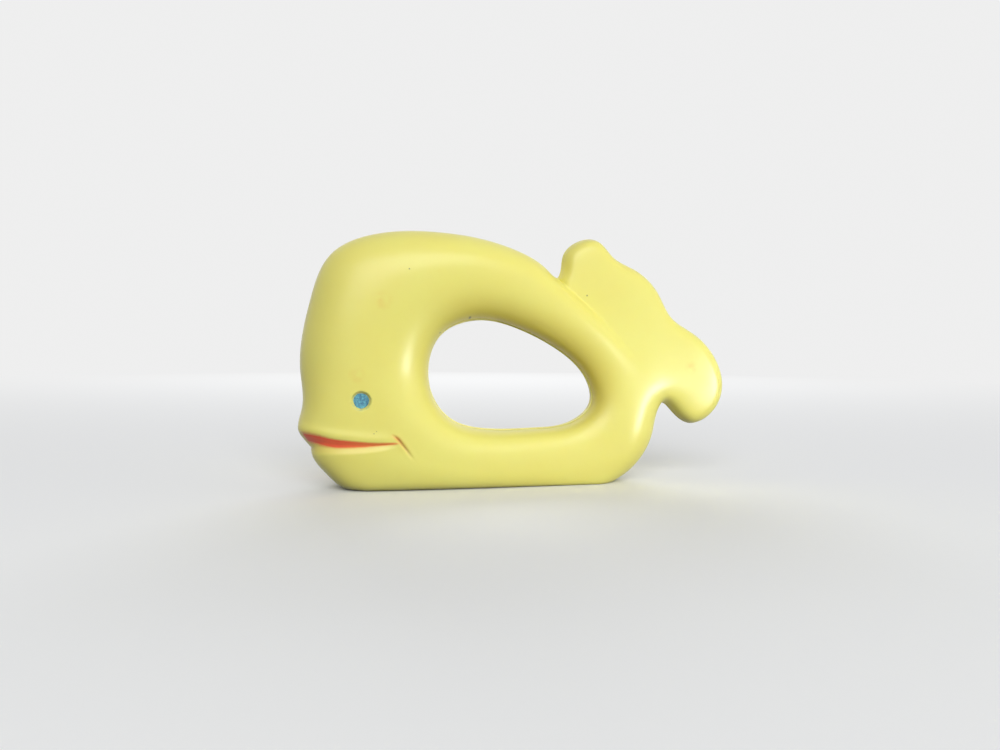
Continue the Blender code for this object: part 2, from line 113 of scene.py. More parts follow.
class ThicknessSizes(PropertyGroup):
    """Sizes across the whale, and of its walls and seam"""

    head: length("Head", "Thickness of the head", 25.0)
    tail: length("Tail", "Thickness of the tail stock", 16.4)
    fluke: length("Fluke", "Thickness of the fluke", 10.6)
    base_width: length("Base width", "Width of the flat base", 12.0)
    base_blend: length("Base blend", "How far the flat base eases into the round form", 9.0)
    fluke_round: length("Fluke rounding", "How far the fluke's rounding reaches in", 3.2)
    fluke_dome: length("Fluke dome", "How far the fluke's low dome reaches in", 12.0)
    crease_fillet: length("Crease fillet", "Fillet where the back meets the fluke", 1.4)
    crease_fade: length("Crease fade", "How far body and fluke ease together at the fluke's foot", 20.0)
    land: length("Seam land", "Half the upright strip along the seam", 0.8)
    wall: length("Wall", "Wall thickness of the shells", 2.2)
    tongue: length("Tongue", "Height of the tongue that locates the halves", 1.2)
    fit_gap: length("Fit gap", "Clearance round the tongue", 0.3)
    seam_gap: length("Seam gap", "Gap between the halves", 0.04)
    flash_height: length("Flash height", "How far the flash stands out along the outer seam", 0.2)
    hole_flash: length("Hole flash", "How far the flash stands out round the finger hole", 0.36)
    flash_width: length("Flash width", "Half the width of the flash along the seam", 0.3)


class FaceSizes(PropertyGroup):
    """Sizes of the eye, the mouth and the smile"""

    eye_diameter: length("Eye diameter", "Diameter of the eye's recess", 5.3)
    eye_floor: length("Eye floor", "Diameter of the recess at its floor", 4.4)
    eye_depth: length("Eye depth", "Depth of the eye's recess", 1.1)
    eye_back: length("Eye set back", "From the snout to the eye", 17.4)
    eye_height: length("Eye height", "Height of the eye above the base", 25.5)
    eye_paint: length("Eye paint", "Diameter of the painted disc", 4.2)
    lip_step: length("Lip step", "How far the lower lip lies under the upper lip", 1.1)
    lip_roll: length("Lip roll", "How far the upper lip bulges out", 0.55)
    smile_depth: length("Smile depth", "Depth of the crease at the mouth's corner", 0.5)
    smile_width: length("Smile width", "Half width of that crease", 0.32)
    film: length("Paint film", "Thickness of the paint films", 0.12)


class Colours(PropertyGroup):
    """Colours of the plastic and the paints"""

    plastic: colour("Plastic", "Yellow of the shells", 0.83, 0.78, 0.195)
    plastic_deep: colour("Deep plastic", "Yellow where the plastic is aged", 0.80, 0.66, 0.12)
    # Painted shade: a darker, warmer yellow that stands in for the shade on the finger hole's upper right
    # flank.
    painted_shade: colour("Handled plastic", "Yellow where the finger hole is handled", 0.70, 0.55, 0.08)
    # Partly the flash's own paler colour, partly a painted highlight for the light its crest catches.
    flash: colour("Flash", "Cream of the flash along the seam", 0.92, 0.86, 0.50)
    stain: colour("Stain", "Amber of the stains", 0.78, 0.52, 0.10)
    speck: colour("Speck", "Dark dirt specks", 0.06, 0.05, 0.03)
    mouth: colour("Mouth", "Red of the mouth", 0.97, 0.145, 0.058)
    mouth_dark: colour("Dark mouth", "Mouth paint where it lies thick", 0.82, 0.105, 0.045)
    mouth_thin: colour("Thin mouth", "Mouth paint where it lies thin", 0.95, 0.42, 0.10)
    eye: colour("Eye", "Blue of the eye", 0.095, 0.30, 0.42)
    eye_light: colour("Eye lights", "Turquoise flecks in the eye", 0.16, 0.55, 0.62)
    eye_dark: colour("Eye darks", "Dark flecks in the eye", 0.045, 0.14, 0.27)
    pellet: colour("Pellet", "Cream of the beads inside", 0.80, 0.76, 0.62)
    # Dark brown that the crease mask lays along the smile crease.
    crease: colour("Crease", "Dirt in the smile crease", 0.30, 0.13, 0.03)
    floor: colour("Floor", "Pale floor", 0.92, 0.92, 0.92)
    bounce: colour("Floor bounce", "What the floor throws back at the object", 0.14, 0.14, 0.14)
    backdrop: colour("Backdrop", "Pale background", 0.86, 0.86, 0.86)
    sky: colour("Sky", "Even light from all round", 0.34, 0.34, 0.34)
    daylight: colour("Daylight", "Colour of the lamps", 0.96, 0.98, 1.0)


class StageSettings(PropertyGroup):
    """Camera and light"""

    camera_place: FloatVectorProperty(name="Camera place", description="Where the camera stands", size=3,
                                      default=(-0.04422, -0.22333, 0.04227), subtype="TRANSLATION")
    camera_yaw: in_degrees("Camera yaw", "Turn of the view from +Y towards +X", 9.77)
    camera_pitch: in_degrees("Camera pitch", "Tilt of the view below the horizon", 2.603)
    camera_roll: in_degrees("Camera roll", "Roll of the camera", 0.4)
    camera_lens: FloatProperty(name="Camera lens", description="Focal length for a sensor 36 mm wide",
                               default=27.72, subtype="DISTANCE_CAMERA")
    light_level: FloatProperty(name="Light level", description="Level of all lamps", default=1.0, min=0.0)


def sizes_of(group):
    """A property group's lengths in millimetres."""
    return SimpleNamespace(**{name: getattr(group, name) / MM for name in group.__annotations__})


def ease(value, low, high):
    """Smooth step: 0 up to low, 1 from high, and t * t * (3 - 2 t) between."""
    t = np.clip((value - low) / (high - low), 0, 1)
    return t * t * (3 - 2 * t)


def hump(value, middle, width):
    """Bell curve: e to the power of minus the square of the distance from the middle over the width."""
    return np.exp(-((value - middle) / width) ** 2)


def spline(points, at, start=None, end=None):
    """A cubic spline at parameters that count spans: Hermite cubics through the points, whose tangents make
    the bend run on unbroken from span to span. The ends are free unless a direction is given."""
    points = np.array(points, float)
    gaps = np.linalg.norm(np.diff(points, axis=0), axis=1)
    slopes = np.diff(points, axis=0) / gaps[:, None]
    count = len(points)
    matrix = np.zeros((count, count))
    target = np.zeros((count, points.shape[1]))
    inner = np.arange(1, count - 1)
    matrix[inner, inner - 1] = gaps[1:]
    matrix[inner, inner] = 2 * (gaps[:-1] + gaps[1:])
    matrix[inner, inner + 1] = gaps[:-1]
    target[inner] = 3 * (gaps[1:, None] * slopes[:-1] + gaps[:-1, None] * slopes[1:])
    matrix[0, :2] = (2, 1) if start is None else (1, 0)
    target[0] = 3 * slopes[0] if start is None else start
    matrix[-1, -2:] = (1, 2) if end is None else (0, 1)
    target[-1] = 3 * slopes[-1] if end is None else end
    tangents = np.linalg.solve(matrix, target)
    at = np.clip(at, 0, count - 1)
    i = np.minimum(at.astype(int), count - 2)
    t = (at - i)[:, None]
    h = gaps[i][:, None]
    return ((1 + 2 * t) * (1 - t) ** 2 * points[i] + t * (1 - t) ** 2 * h * tangents[i]
            + t ** 2 * (3 - 2 * t) * points[i + 1] + t ** 2 * (t - 1) * h * tangents[i + 1])


def closed_spline(points, at):
    """A smooth closed curve: the spline runs once more round at both ends, and the middle turn is read."""
    return spline(points * 3 + points[:1], at % len(points) + len(points))


def spread(density, low, high, count):
    """Places from low to high, as close together as a density function asks: equal steps of its integral."""
    place = np.linspace(low, high, 4000)
    total = np.concatenate(([0.0], np.cumsum((density(place[1:]) + density(place[:-1])) / 2)))
    return np.interp(np.linspace(0, total[-1], count), total, place)


def normals(loop):
    """Unit normals of a closed line in the side view, to the right of its direction."""
    run = np.roll(loop, -1, axis=0) - np.roll(loop, 1, axis=0)
    run = run / np.linalg.norm(run, axis=1)[:, None]
    return np.stack((run[:, 1], -run[:, 0]), axis=1)


def blocks(points):
    """The points' numbers in blocks of about equal length."""
    return np.array_split(np.arange(len(points)), len(points) // BLOCK + 1)


def distance(points, loop):
    """A smooth distance to a closed line: half the line's integral of 1 / r^3, to the power -1/2. Beside a
    straight edge it is the plain distance, and it has no ridge where two edges are as near."""
    step = np.roll(loop, -1, axis=0) - loop
    run = np.maximum(np.linalg.norm(step, axis=1), 1e-6)
    found = np.empty(len(points))
    for part in blocks(points):
        to_point = points[part, None] - loop[None]
        along = -np.einsum("psk,sk->ps", to_point, step / run[:, None])
        square = np.maximum((to_point ** 2).sum(axis=2) - along ** 2, 1e-6)
        end = along + run
        pull = (end / np.sqrt(end ** 2 + square) - along / np.sqrt(along ** 2 + square)) / square
        found[part] = (pull.sum(axis=1) / 2) ** -0.5
    return found


def inside(points, loop):
    """Even-odd test of points against a closed line."""
    following = np.roll(loop, -1, axis=0)
    rise = following[:, 1] - loop[:, 1]
    rise = np.where(np.abs(rise) < 1e-9, 1e-9, rise)
    found = np.empty(len(points), bool)
    for part in blocks(points):
        x, z = points[part, None, 0], points[part, None, 1]
        crosses = (loop[:, 1] > z) != (following[:, 1] > z)
        at = loop[:, 0] + (z - loop[:, 1]) * (following[:, 0] - loop[:, 0]) / rise
        found[part] = (crosses & (x < at)).sum(axis=1) % 2 == 1
    return found


def rounded(share, power):
    """Superellipse profile: 0 at the edge, upright there, and 1 from a share of 1 inwards."""
    return (1 - (1 - np.clip(share, 0, 1)) ** power) ** (1 / power)


class Whale:
    """The whale's side view and thickness in millimetres, from the sizes in the sidebar. Side-view points
    are (x, z) pairs with x counted from the middle of the finger hole."""

    BASE_SPANS = 8  # spans of the outline along the straight base
    LINE_STEPS = 10  # points to a span of the lines that distances are taken from
    HOLE_STEPS = 20  # the same round the hole
    FACING_STEPS = 100  # the same where the outline's rays cross the hole's edge
    GRID_STEPS = 6  # columns of the coarse grid to a span
    GRID_ROWS = 32
    RELAX_STEPS = 1000
    EVEN_STEPS = 30  # rounds that even out the rays' angles
    LEAF_ROOT = 0.4  # how far the fluke's leaf runs into the body, as a share of the way to the focus
    BODY_POWER = 2.2  # how square a section is: 2 is an ellipse
    BAR_POWER = 3.0
    FLUKE_POWER = 2.2
    DOME_SHARE = 0.25  # the dome's share of the fluke's thickness
    RIDGE_SHARE = 0.38  # where the body is thickest, as a share of the way from outline to hole

    def __init__(self, scene):
        side = sizes_of(scene.rattle_side)
        self.side = side
        self.across = sizes_of(scene.rattle_across)
        self.face = sizes_of(scene.rattle_face)
        self.left, self.right = -side.hole_length / 2, side.hole_length / 2
        self.low = side.bar_height
        self.high = self.low + side.hole_height
        self.snout = self.left - side.head_length
        self.crown = self.high + side.back_height
        self.front = self.left - side.base_front
        self.rear = self.right + side.base_rear
        self.top_root = self.by_hole(0.782, 1.0) + (0.0, 0.457 * side.back_height)
        self.foot_root = np.array((self.right + 1.024 * side.stock_width, self.low + 0.27 * side.hole_height))
        self.focus = self.by_hole(0.768, 0.43)
        self.upper_points = self.upper_edge()
        self.spans = len(self.upper_points) - 1 + self.BASE_SPANS + 2
        at = np.arange(0, self.spans, 1 / self.LINE_STEPS)
        self.edge = self.outline(at)
        self.centre = (self.edge[:, 0].min() + self.edge[:, 0].max()) / 2
        self.ring, on_fluke = self.ring_line(at)
        neck = self.ring[on_fluke][::-1]
        self.leaf = np.concatenate((self.edge[on_fluke], neck + self.LEAF_ROOT * (self.focus - neck)))
        self.hole = self.hole_line(self.HOLE_STEPS)

    def by_hole(self, along, up):
        """A place by shares of the finger hole's length and height."""
        return np.array((self.left + along * self.side.hole_length, self.low + up * self.side.hole_height))

    def back_points(self):
        """From the corner of the jaw over lip, forehead and crown towards the fluke, as shares of the head's
        length, the lip, the forehead and the back."""
        side = self.side
        brow = side.jaw_height + side.lip_height
        face = [(0.097, 0.0), (0.042, 0.214), (0.0, 0.5), (0.025, 1.0)]
        forehead = [(0.017, 0.216), (0.094, 0.608), (0.252, 0.861), (0.612, 0.98)]
        back = [(0.03, 0.996), (0.548, 0.783), (0.702, 0.591)]
        points = [(self.snout + a * side.head_length, side.jaw_height + b * side.lip_height) for a, b in face]
        points += [(self.snout + a * side.head_length, brow + b * (self.crown - brow)) for a, b in forehead]
        points += [(self.left + a * side.hole_length, self.high + b * side.back_height) for a, b in back]
        return points

    def fluke_points(self):
        """The fluke's edge between its roots, as shares of the lobes' lengths and of the fluke's depth."""
        root = self.foot_root - self.top_root
        along = root / np.linalg.norm(root)
        out = np.array((-along[1], along[0]))
        middle = (self.top_root + self.foot_root) / 2
        upper = [(-0.973, 0.278), (-0.961, 0.584), (-0.859, 0.733), (-0.621, 0.757), (-0.391, 0.862),
                 (-0.036, 0.905)]
        lower = [(0.195, 0.829), (0.43, 0.92), (0.725, 0.92), (0.915, 0.765), (1.028, 0.39), (0.965, 0.09),
                 (0.79, 0.02)]
        lobes = [(a * self.side.upper_lobe, b * self.side.fluke_depth) for a, b in upper]
        lobes += [(a * self.side.lower_lobe, b * self.side.fluke_depth) for a, b in lower]
        return [tuple(middle + a * along + b * out) for a, b in lobes]

    def notch_points(self, before, corner, after):
        """Three points of the fillet arc in the sharp corner between two edges."""
        fillet = self.side.notch_fillet
        arms = [np.subtract(end, corner) for end in (before, after)]
        arms = [arm / np.linalg.norm(arm) for arm in arms]
        bisector = arms[0] + arms[1]
        half_angle = np.arccos(np.linalg.norm(bisector) / 2)
        reach = fillet * (1 / np.cos(half_angle) - np.tan(half_angle))
        middle = corner + reach * bisector / np.linalg.norm(bisector)
        return [tuple(corner + fillet * arms[0]), tuple(middle), tuple(corner + fillet * arms[1])]

    def upper_edge(self):
        """All points of the edge from the corner of the jaw over back, fluke and heel to the base."""
        back, fluke = self.back_points(), self.fluke_points()
        heel = [(self.right + a * self.side.stock_width, b * self.low)
                for a, b in [(0.876, 0.905), (0.624, 0.316)]]
        heel.append((self.rear, 0.0))
        top = self.notch_points(back[-1], self.top_root, fluke[0])
        foot = self.notch_points(fluke[-1], self.foot_root, heel[0])
        self.fluke_first = len(back) + 1
        self.fluke_last = self.fluke_first + len(fluke) + 3
        return back + top + fluke + foot + heel

    def outline(self, at):
        """The outer edge, clockwise from the corner of the jaw: a spline over the back, a straight base and
        a spline round the chin, at parameters that count spans."""
        at = at % self.spans
        base = len(self.upper_points) - 1
        chin = base + self.BASE_SPANS
        upper = spline(self.upper_points, at, end=(-1.0, 0.0))
        share = np.clip((at - base) / self.BASE_SPANS, 0, 1)[:, None]
        flat = (1 - share) * np.array((self.rear, 0.0)) + share * np.array((self.front, 0.0))
        bend = (self.snout + 0.21 * self.side.head_length, 0.375 * self.side.jaw_height)
        chin_points = [(self.front, 0.0), bend, self.upper_points[0]]
        under = spline(chin_points, at - chin, start=(-1.0, 0.0), end=(0.1, 1.0))
        return np.where((at < base)[:, None], upper, np.where((at < chin)[:, None], flat, under))

    def neck(self, share):
        """The body's own edge where the fluke covers it, at shares from root to root."""
        middle = [(self.right + a * self.side.stock_width, self.low + b * self.side.hole_height)
                  for a, b in [(0.29, 0.883), (0.82, 0.466)]]
        points = [self.top_root, *middle, self.foot_root]
        return spline(points, share * 3)

    def ring_line(self, at):
        """The outline with the body's own edge in place of the fluke's, and which of its places those are."""
        line = self.outline(at)
        on_fluke = (at >= self.fluke_first) & (at < self.fluke_last)
        line[on_fluke] = self.neck((at[on_fluke] - self.fluke_first) / (self.fluke_last - self.fluke_first))
        return line, on_fluke

    def hole_line(self, steps):
        """The egg-shaped finger hole, clockwise from its left end: a closed spline with a number of steps
        in each span, through points at shares of the hole's length and height."""
        egg = [(0.0, 0.54), (0.079, 0.868), (0.27, 1.0), (0.528, 0.93), (0.77, 0.748), (0.968, 0.451),
               (0.994, 0.233), (0.899, 0.08), (0.637, 0.006), (0.319, 0.009), (0.149, 0.086), (0.026, 0.313)]
        return closed_spline([tuple(self.by_hole(a, b)) for a, b in egg], np.arange(0, len(egg), 1 / steps))

    def base_flat(self, points, inset=0.0):
        """How far a place belongs to the flat base: 1 on it, easing to 0 at its ends and above it."""
        x, z = points[:, 0], points[:, 1]
        blend = self.across.base_blend
        share = ease(x, self.front - 0.4 * blend, self.front + 0.6 * blend)
        share = share * (1 - ease(x, self.rear - 0.4 * blend, self.rear + 0.6 * blend))
        return share * (1 - ease(z, inset, inset + blend))

    def section_power(self, points):
        """How square the cross-section is: nearly an ellipse over head, back and tail stock, and squarer
        along jaw and bar."""
        reach = 0.2 * self.side.hole_length
        bar = 1 - ease(points[:, 1], self.low, self.low + 0.6 * self.side.hole_height)
        bar = bar * (1 - ease(points[:, 0], self.right - reach, self.right + reach))
        return self.BODY_POWER + (self.BAR_POWER - self.BODY_POWER) * bar

    def pillow(self, depth):
        """The fluke's profile at a depth from its edge: a rounded edge on a broad, low dome."""
        dome = self.DOME_SHARE * rounded(depth / self.across.fluke_dome, 2.0)
        return dome + (1 - self.DOME_SHARE) * rounded(depth / self.across.fluke_round, self.FLUKE_POWER)

    def thickness(self, points, inset=0.0):
        """Half the thickness at side-view points, or of the same form inset on all sides. The body is a ring
        round the hole, of superelliptic section and thinner towards the tail. The fluke is a leaf that meets
        it in a filleted crease. The crease fades towards the fluke's foot, where both are one smooth form.
        Nowhere is it thinner than the upright land along the seam."""
        size = self.across
        x = points[:, 0]
        thinning = ease(x, self.left - 0.39 * self.side.head_length,
                        self.right + 0.28 * self.side.stock_width)
        full = size.head / 2 + (size.tail - size.head) / 2 * thinning
        base = np.maximum(size.base_width / 2 - size.land - inset, 0)
        land = size.land + base * self.base_flat(points, inset)
        power = self.section_power(points)
        to_hole = distance(points, self.hole) - inset
        leaf = size.fluke / 2 - inset

        def ring_section(to_edge):
            share = np.clip(to_edge / (to_edge + to_hole), 0, 1)
            rise = np.minimum(share / self.RIDGE_SHARE, (1 - share) / (1 - self.RIDGE_SHARE))
            return land + (full - inset - land) * rounded(rise, power)

        body = np.where(inside(points, self.ring), ring_section(distance(points, self.ring) - inset), 0)
        fluke = np.zeros(len(points))
        near = x > self.leaf[:, 0].min()
        leaf_form = leaf * self.pillow(distance(points[near], self.leaf) - inset)
        fluke[near] = np.where(inside(points[near], self.leaf), leaf_form, 0)
        blend = np.maximum(size.crease_fillet - np.abs(body - fluke), 0) ** 2 / (4 * size.crease_fillet)
        creased = np.maximum(body, fluke) + blend * (np.minimum(body, fluke) > 0)
        to_edge = distance(points, self.edge) - inset
        smooth = ring_section(to_edge)
        root = self.foot_root - self.top_root
        along = (points - self.top_root) @ root / (root @ root)
        out = (points - self.top_root) @ np.array((-root[1], root[0])) / np.linalg.norm(root)
        foot = ease(out / size.crease_fade, -0.85, 0.65)
        smooth = smooth + (leaf * self.pillow(to_edge) - smooth) * foot
        return np.maximum(creased + (smooth - creased) * ease(along, 0.2, 0.8), land)

    def rays(self, at):
        """For each place on the outline, the angle of the ray from a focus inside the hole to it, with the
        angles put in order and evened out."""
        steps = np.arange(0, self.spans, 1 / self.GRID_STEPS)
        line, _ = self.ring_line(steps)
        ray = np.sort(np.unwrap(np.arctan2(*(line - self.focus).T[::-1])))[::-1]
        step = np.diff(ray, append=ray[0] - 2 * np.pi)
        for _ in range(self.EVEN_STEPS):
            step = (np.roll(step, 1) + 2 * step + np.roll(step, -1)) / 4
        ray = np.concatenate(([ray[0]], ray[0] + np.cumsum(step))) - step[-1]
        turns = np.floor(at / self.spans)
        return np.interp(at % self.spans, np.append(steps, self.spans), ray) - 2 * np.pi * turns

    def facing_hole(self, at):
        """The hole's edge where the ray of each place on the outline crosses it."""
        spokes = self.hole_line(self.FACING_STEPS) - self.focus
        turn = np.arctan2(*spokes.T[::-1])
        order = np.argsort(turn)
        ray = self.rays(at)
        reach = np.interp(ray, turn[order], np.linalg.norm(spokes, axis=1)[order], period=2 * np.pi)
        return self.focus + reach[:, None] * np.stack((np.cos(ray), np.sin(ray)), axis=1)

    def edges(self, at, inset):
        """The outline and the hole's edge facing it, both moved into the wall by an inset."""
        outer, hole = self.outline(at), self.facing_hole(at)
        return outer + inset * normals(outer), hole - inset * normals(hole)

    def relaxed(self, inset):
        """A coarse grid of side-view points, rows from the outline to the hole: straight lines at first,
        relaxed by the elliptic grid equations, which leave no two lines crossing."""
        outer, hole = self.edges(np.arange(0, self.spans, 1 / self.GRID_STEPS), inset)
        grid = outer + np.linspace(0, 1, self.GRID_ROWS + 1)[:, None, None] * (hole - outer)
        for _ in range(self.RELAX_STEPS):
            ahead, behind = np.roll(grid, -1, axis=1), np.roll(grid, 1, axis=1)
            along = ahead - behind
            across = grid[2:] - grid[:-2]
            wide = (across ** 2).sum(axis=2)[..., None]
            long = (along[1:-1] ** 2).sum(axis=2)[..., None]
            skew = (across * along[1:-1]).sum(axis=2)[..., None]
            pull = wide * (ahead + behind)[1:-1] + long * (grid[2:] + grid[:-2])
            pull = pull - skew / 2 * (along[2:] - along[:-2])
            grid[1:-1] = pull / (2 * (wide + long))
        return grid

    def grid(self, shares, at, inset=0.0):
        """Side-view points at shares from outline to hole and at places on the outline: the relaxed grid
        read between its points, then drawn onto the true edges at its first and last row."""
        coarse = self.relaxed(inset)
        column = (at % self.spans) * self.GRID_STEPS
        left = column.astype(int) % coarse.shape[1]
        part = (column - np.floor(column))[:, None]
        columns = (1 - part) * coarse[:, left] + part * coarse[:, (left + 1) % coarse.shape[1]]
        row = shares * self.GRID_ROWS
        low = np.minimum(row.astype(int), self.GRID_ROWS - 1)
        part = (row - low)[:, None, None]
        found = (1 - part) * columns[low] + part * columns[low + 1]
        outer, hole = self.edges(at, inset)
        share = shares[:, None, None]
        return found + (1 - share) * (outer - columns[0]) + share * (hole - columns[-1])

    def placed(self, points, depth):
        """Side-view points at a depth from the middle plane, as points of the part, none under the base."""
        depth = np.broadcast_to(depth, len(points))
        return np.column_stack((points[:, 0] - self.centre, depth, np.maximum(points[:, 1], 0)))


class Face:
    """The relief of the whale's face and the masks of its paint, at side-view points."""

    PAINT_SHORT = 0.8  # how far the paint stays above the lower lip at the snout
    RELIEF_FADE = 2.5  # how much thicker than the seam's land the shell is where the relief is whole
    SNOUT_SPANS = (-1, 4)  # the outline's spans from the chin over the lips to the forehead
    SMILE_STEPS = 60

    def __init__(self, whale):
        self.whale = whale
        self.size = whale.face
        jaw = whale.side.jaw_height
        self.eye = np.array((whale.snout + self.size.eye_back, self.size.eye_height))
        self.upper_lip = [(-1.0, jaw + 4.8), (1.6, jaw + 4.6), (5.9, jaw + 4.1), (9.8, jaw + 3.3),
                          (13.7, jaw + 2.8), (20.9, jaw + 2.15), (27.6, jaw + 2.05)]
        self.lower_lip = [(-1.0, jaw + 1.7), (3.5, jaw + 1.5), (9.0, jaw + 1.05), (12.6, jaw + 1.0),
                          (16.2, jaw + 1.1), (22.0, jaw + 1.5), (27.6, jaw + 1.95)]
        self.lip_foot = [(-1.0, jaw - 2.2), (6.0, jaw - 1.3), (14.0, jaw - 0.9), (21.0, jaw - 0.3),
                         (27.6, jaw + 1.0)]
        self.smile = [(25.8, jaw + 4.2), (26.9, jaw + 3.5), (27.9, jaw + 2.4), (29.9, jaw - 0.3),
                      (31.3, jaw - 2.5)]

    def line(self, points, x):
        """The height of a lip line over distances behind the snout, read from a fine spline."""
        fine = spline(points, np.linspace(0, len(points) - 1, 400))
        return np.interp(x - self.whale.snout, fine[:, 0], fine[:, 1])

    def lips(self, points):
        """Place along the mouth from 0 at the snout to 1 at its corner, and the three lip lines there."""
        x = points[:, 0]
        share = np.clip((x - self.whale.snout) / self.upper_lip[-1][0], 0, 1)
        return share, self.line(self.upper_lip, x), self.line(self.lower_lip, x), self.line(self.lip_foot, x)

    def front(self, z):
        """How far forward the snout's outline reaches at a height."""
        edge = self.whale.outline(np.linspace(*self.SNOUT_SPANS, 600))
        return np.interp(z, edge[:, 1], edge[:, 0])

    def at_snout(self, x):
        """1 at the snout, easing to 0 a third of the way along the mouth."""
        return 1 - ease(x - self.whale.snout, 3.0, 11.0)

    def paint_edges(self, x):
        """The upper and lower edge of the mouth's paint: the lip lines, but short of the lower one ahead."""
        short = self.PAINT_SHORT * self.at_snout(x)
        return self.line(self.upper_lip, x), self.line(self.lower_lip, x) + short

    def smile_distance(self, points):
        """Distance to the smile crease, and the place along it from 0 to 1."""
        fine = spline(self.smile, np.linspace(0, len(self.smile) - 1, self.SMILE_STEPS))
        gaps = np.linalg.norm(points[:, None] - fine - (self.whale.snout, 0), axis=2)
        return gaps.min(axis=1), gaps.argmin(axis=1) / (self.SMILE_STEPS - 1)

    def relief(self, points):
        """How far the face stands out of the plain form: the roll of the upper lip, the step under it that
        the lower lip brings back, the smile crease and the eye's recess."""
        size = self.size
        z = points[:, 1]
        share, upper, lower, foot = self.lips(points)
        fade = 1 - ease(points[:, 0] - self.whale.snout, 23.0, 28.5)
        step = size.lip_step * (1 - 0.72 * share) * fade
        down = ease(upper - z, -0.12, 0.75 * (upper - lower) + 0.12)
        back = ease(lower - z, -0.1, lower - foot + 0.3)
        roll = size.lip_roll * (1 - 0.6 * share) * fade * hump(z, upper + 1.1, 1.6)
        roll = roll * ease(z, upper - 0.3, upper + 0.5)
        gap, along = self.smile_distance(points)
        smile = np.sin(np.pi * np.clip(along, 0.02, 0.98)) ** 0.7
        crease = size.smile_depth * smile * hump(gap, 0, size.smile_width)
        cheek = 0.1 * size.smile_depth * smile * hump(gap, 2.6 * size.smile_width, 1.6 * size.smile_width)
        reach = np.linalg.norm(points - self.eye, axis=1)
        recess = size.eye_depth * (1 - ease(reach, size.eye_floor / 2 - 0.1, size.eye_diameter / 2 + 0.12))
        return roll - step * down * (1 - back) - crease + cheek - recess

    def skin(self, points):
        """Half the thickness with the relief, which fades out towards the seam."""
        plain, land = self.whale.thickness(points), self.whale.across.land
        return plain + self.relief(points) * ease(plain, land, land + self.RELIEF_FADE)

    def masks(self, points):
        """Masks of what lies on the plastic: the mouth's overspray, the tint of lower lip and smile crease,
        the rub of blue round the eye and the darkening along the crease."""
        z = points[:, 1]
        x = points[:, 0] - self.whale.snout
        _, _, lower, foot = self.lips(points)
        paint_top, paint_foot = self.paint_edges(points[:, 0])
        outside = np.maximum(np.maximum(z - paint_top, paint_foot - z), 0)
        ends = (1 - ease(x, 25.5, 28.6)) * ease(points[:, 0] - self.front(z), 0.3, 2.2)
        spray = ends * hump(outside, 0, 0.25 + 0.4 * self.at_snout(points[:, 0]))
        gap, along = self.smile_distance(points)
        spray = np.maximum(spray, 0.8 * hump(gap, 0, 0.45) * hump(along, 0.35, 0.3))
        tint = ease(lower - z, -0.3, 0.3) * (1 - ease(lower - z, 0.6, lower - foot + 0.6))
        tint = tint * (1 - ease(x, 16.0, 28.0))
        tint = np.maximum(0.9 * tint, 0.5 * hump(gap, 0, 1.5) * hump(along, 0.5, 0.4))
        reach = np.linalg.norm(points - self.eye, axis=1)
        ring = hump(reach, self.size.eye_floor / 2 + 0.15, 0.35)
        # Darker brown along the middle of the smile crease.
        dirt = hump(gap, 0, 0.24) * hump(along, 0.5, 0.3)
        return {"mouth_spray": spray, "lip_tint": tint, "eye_rub": ring, "crease_darkening": dirt}


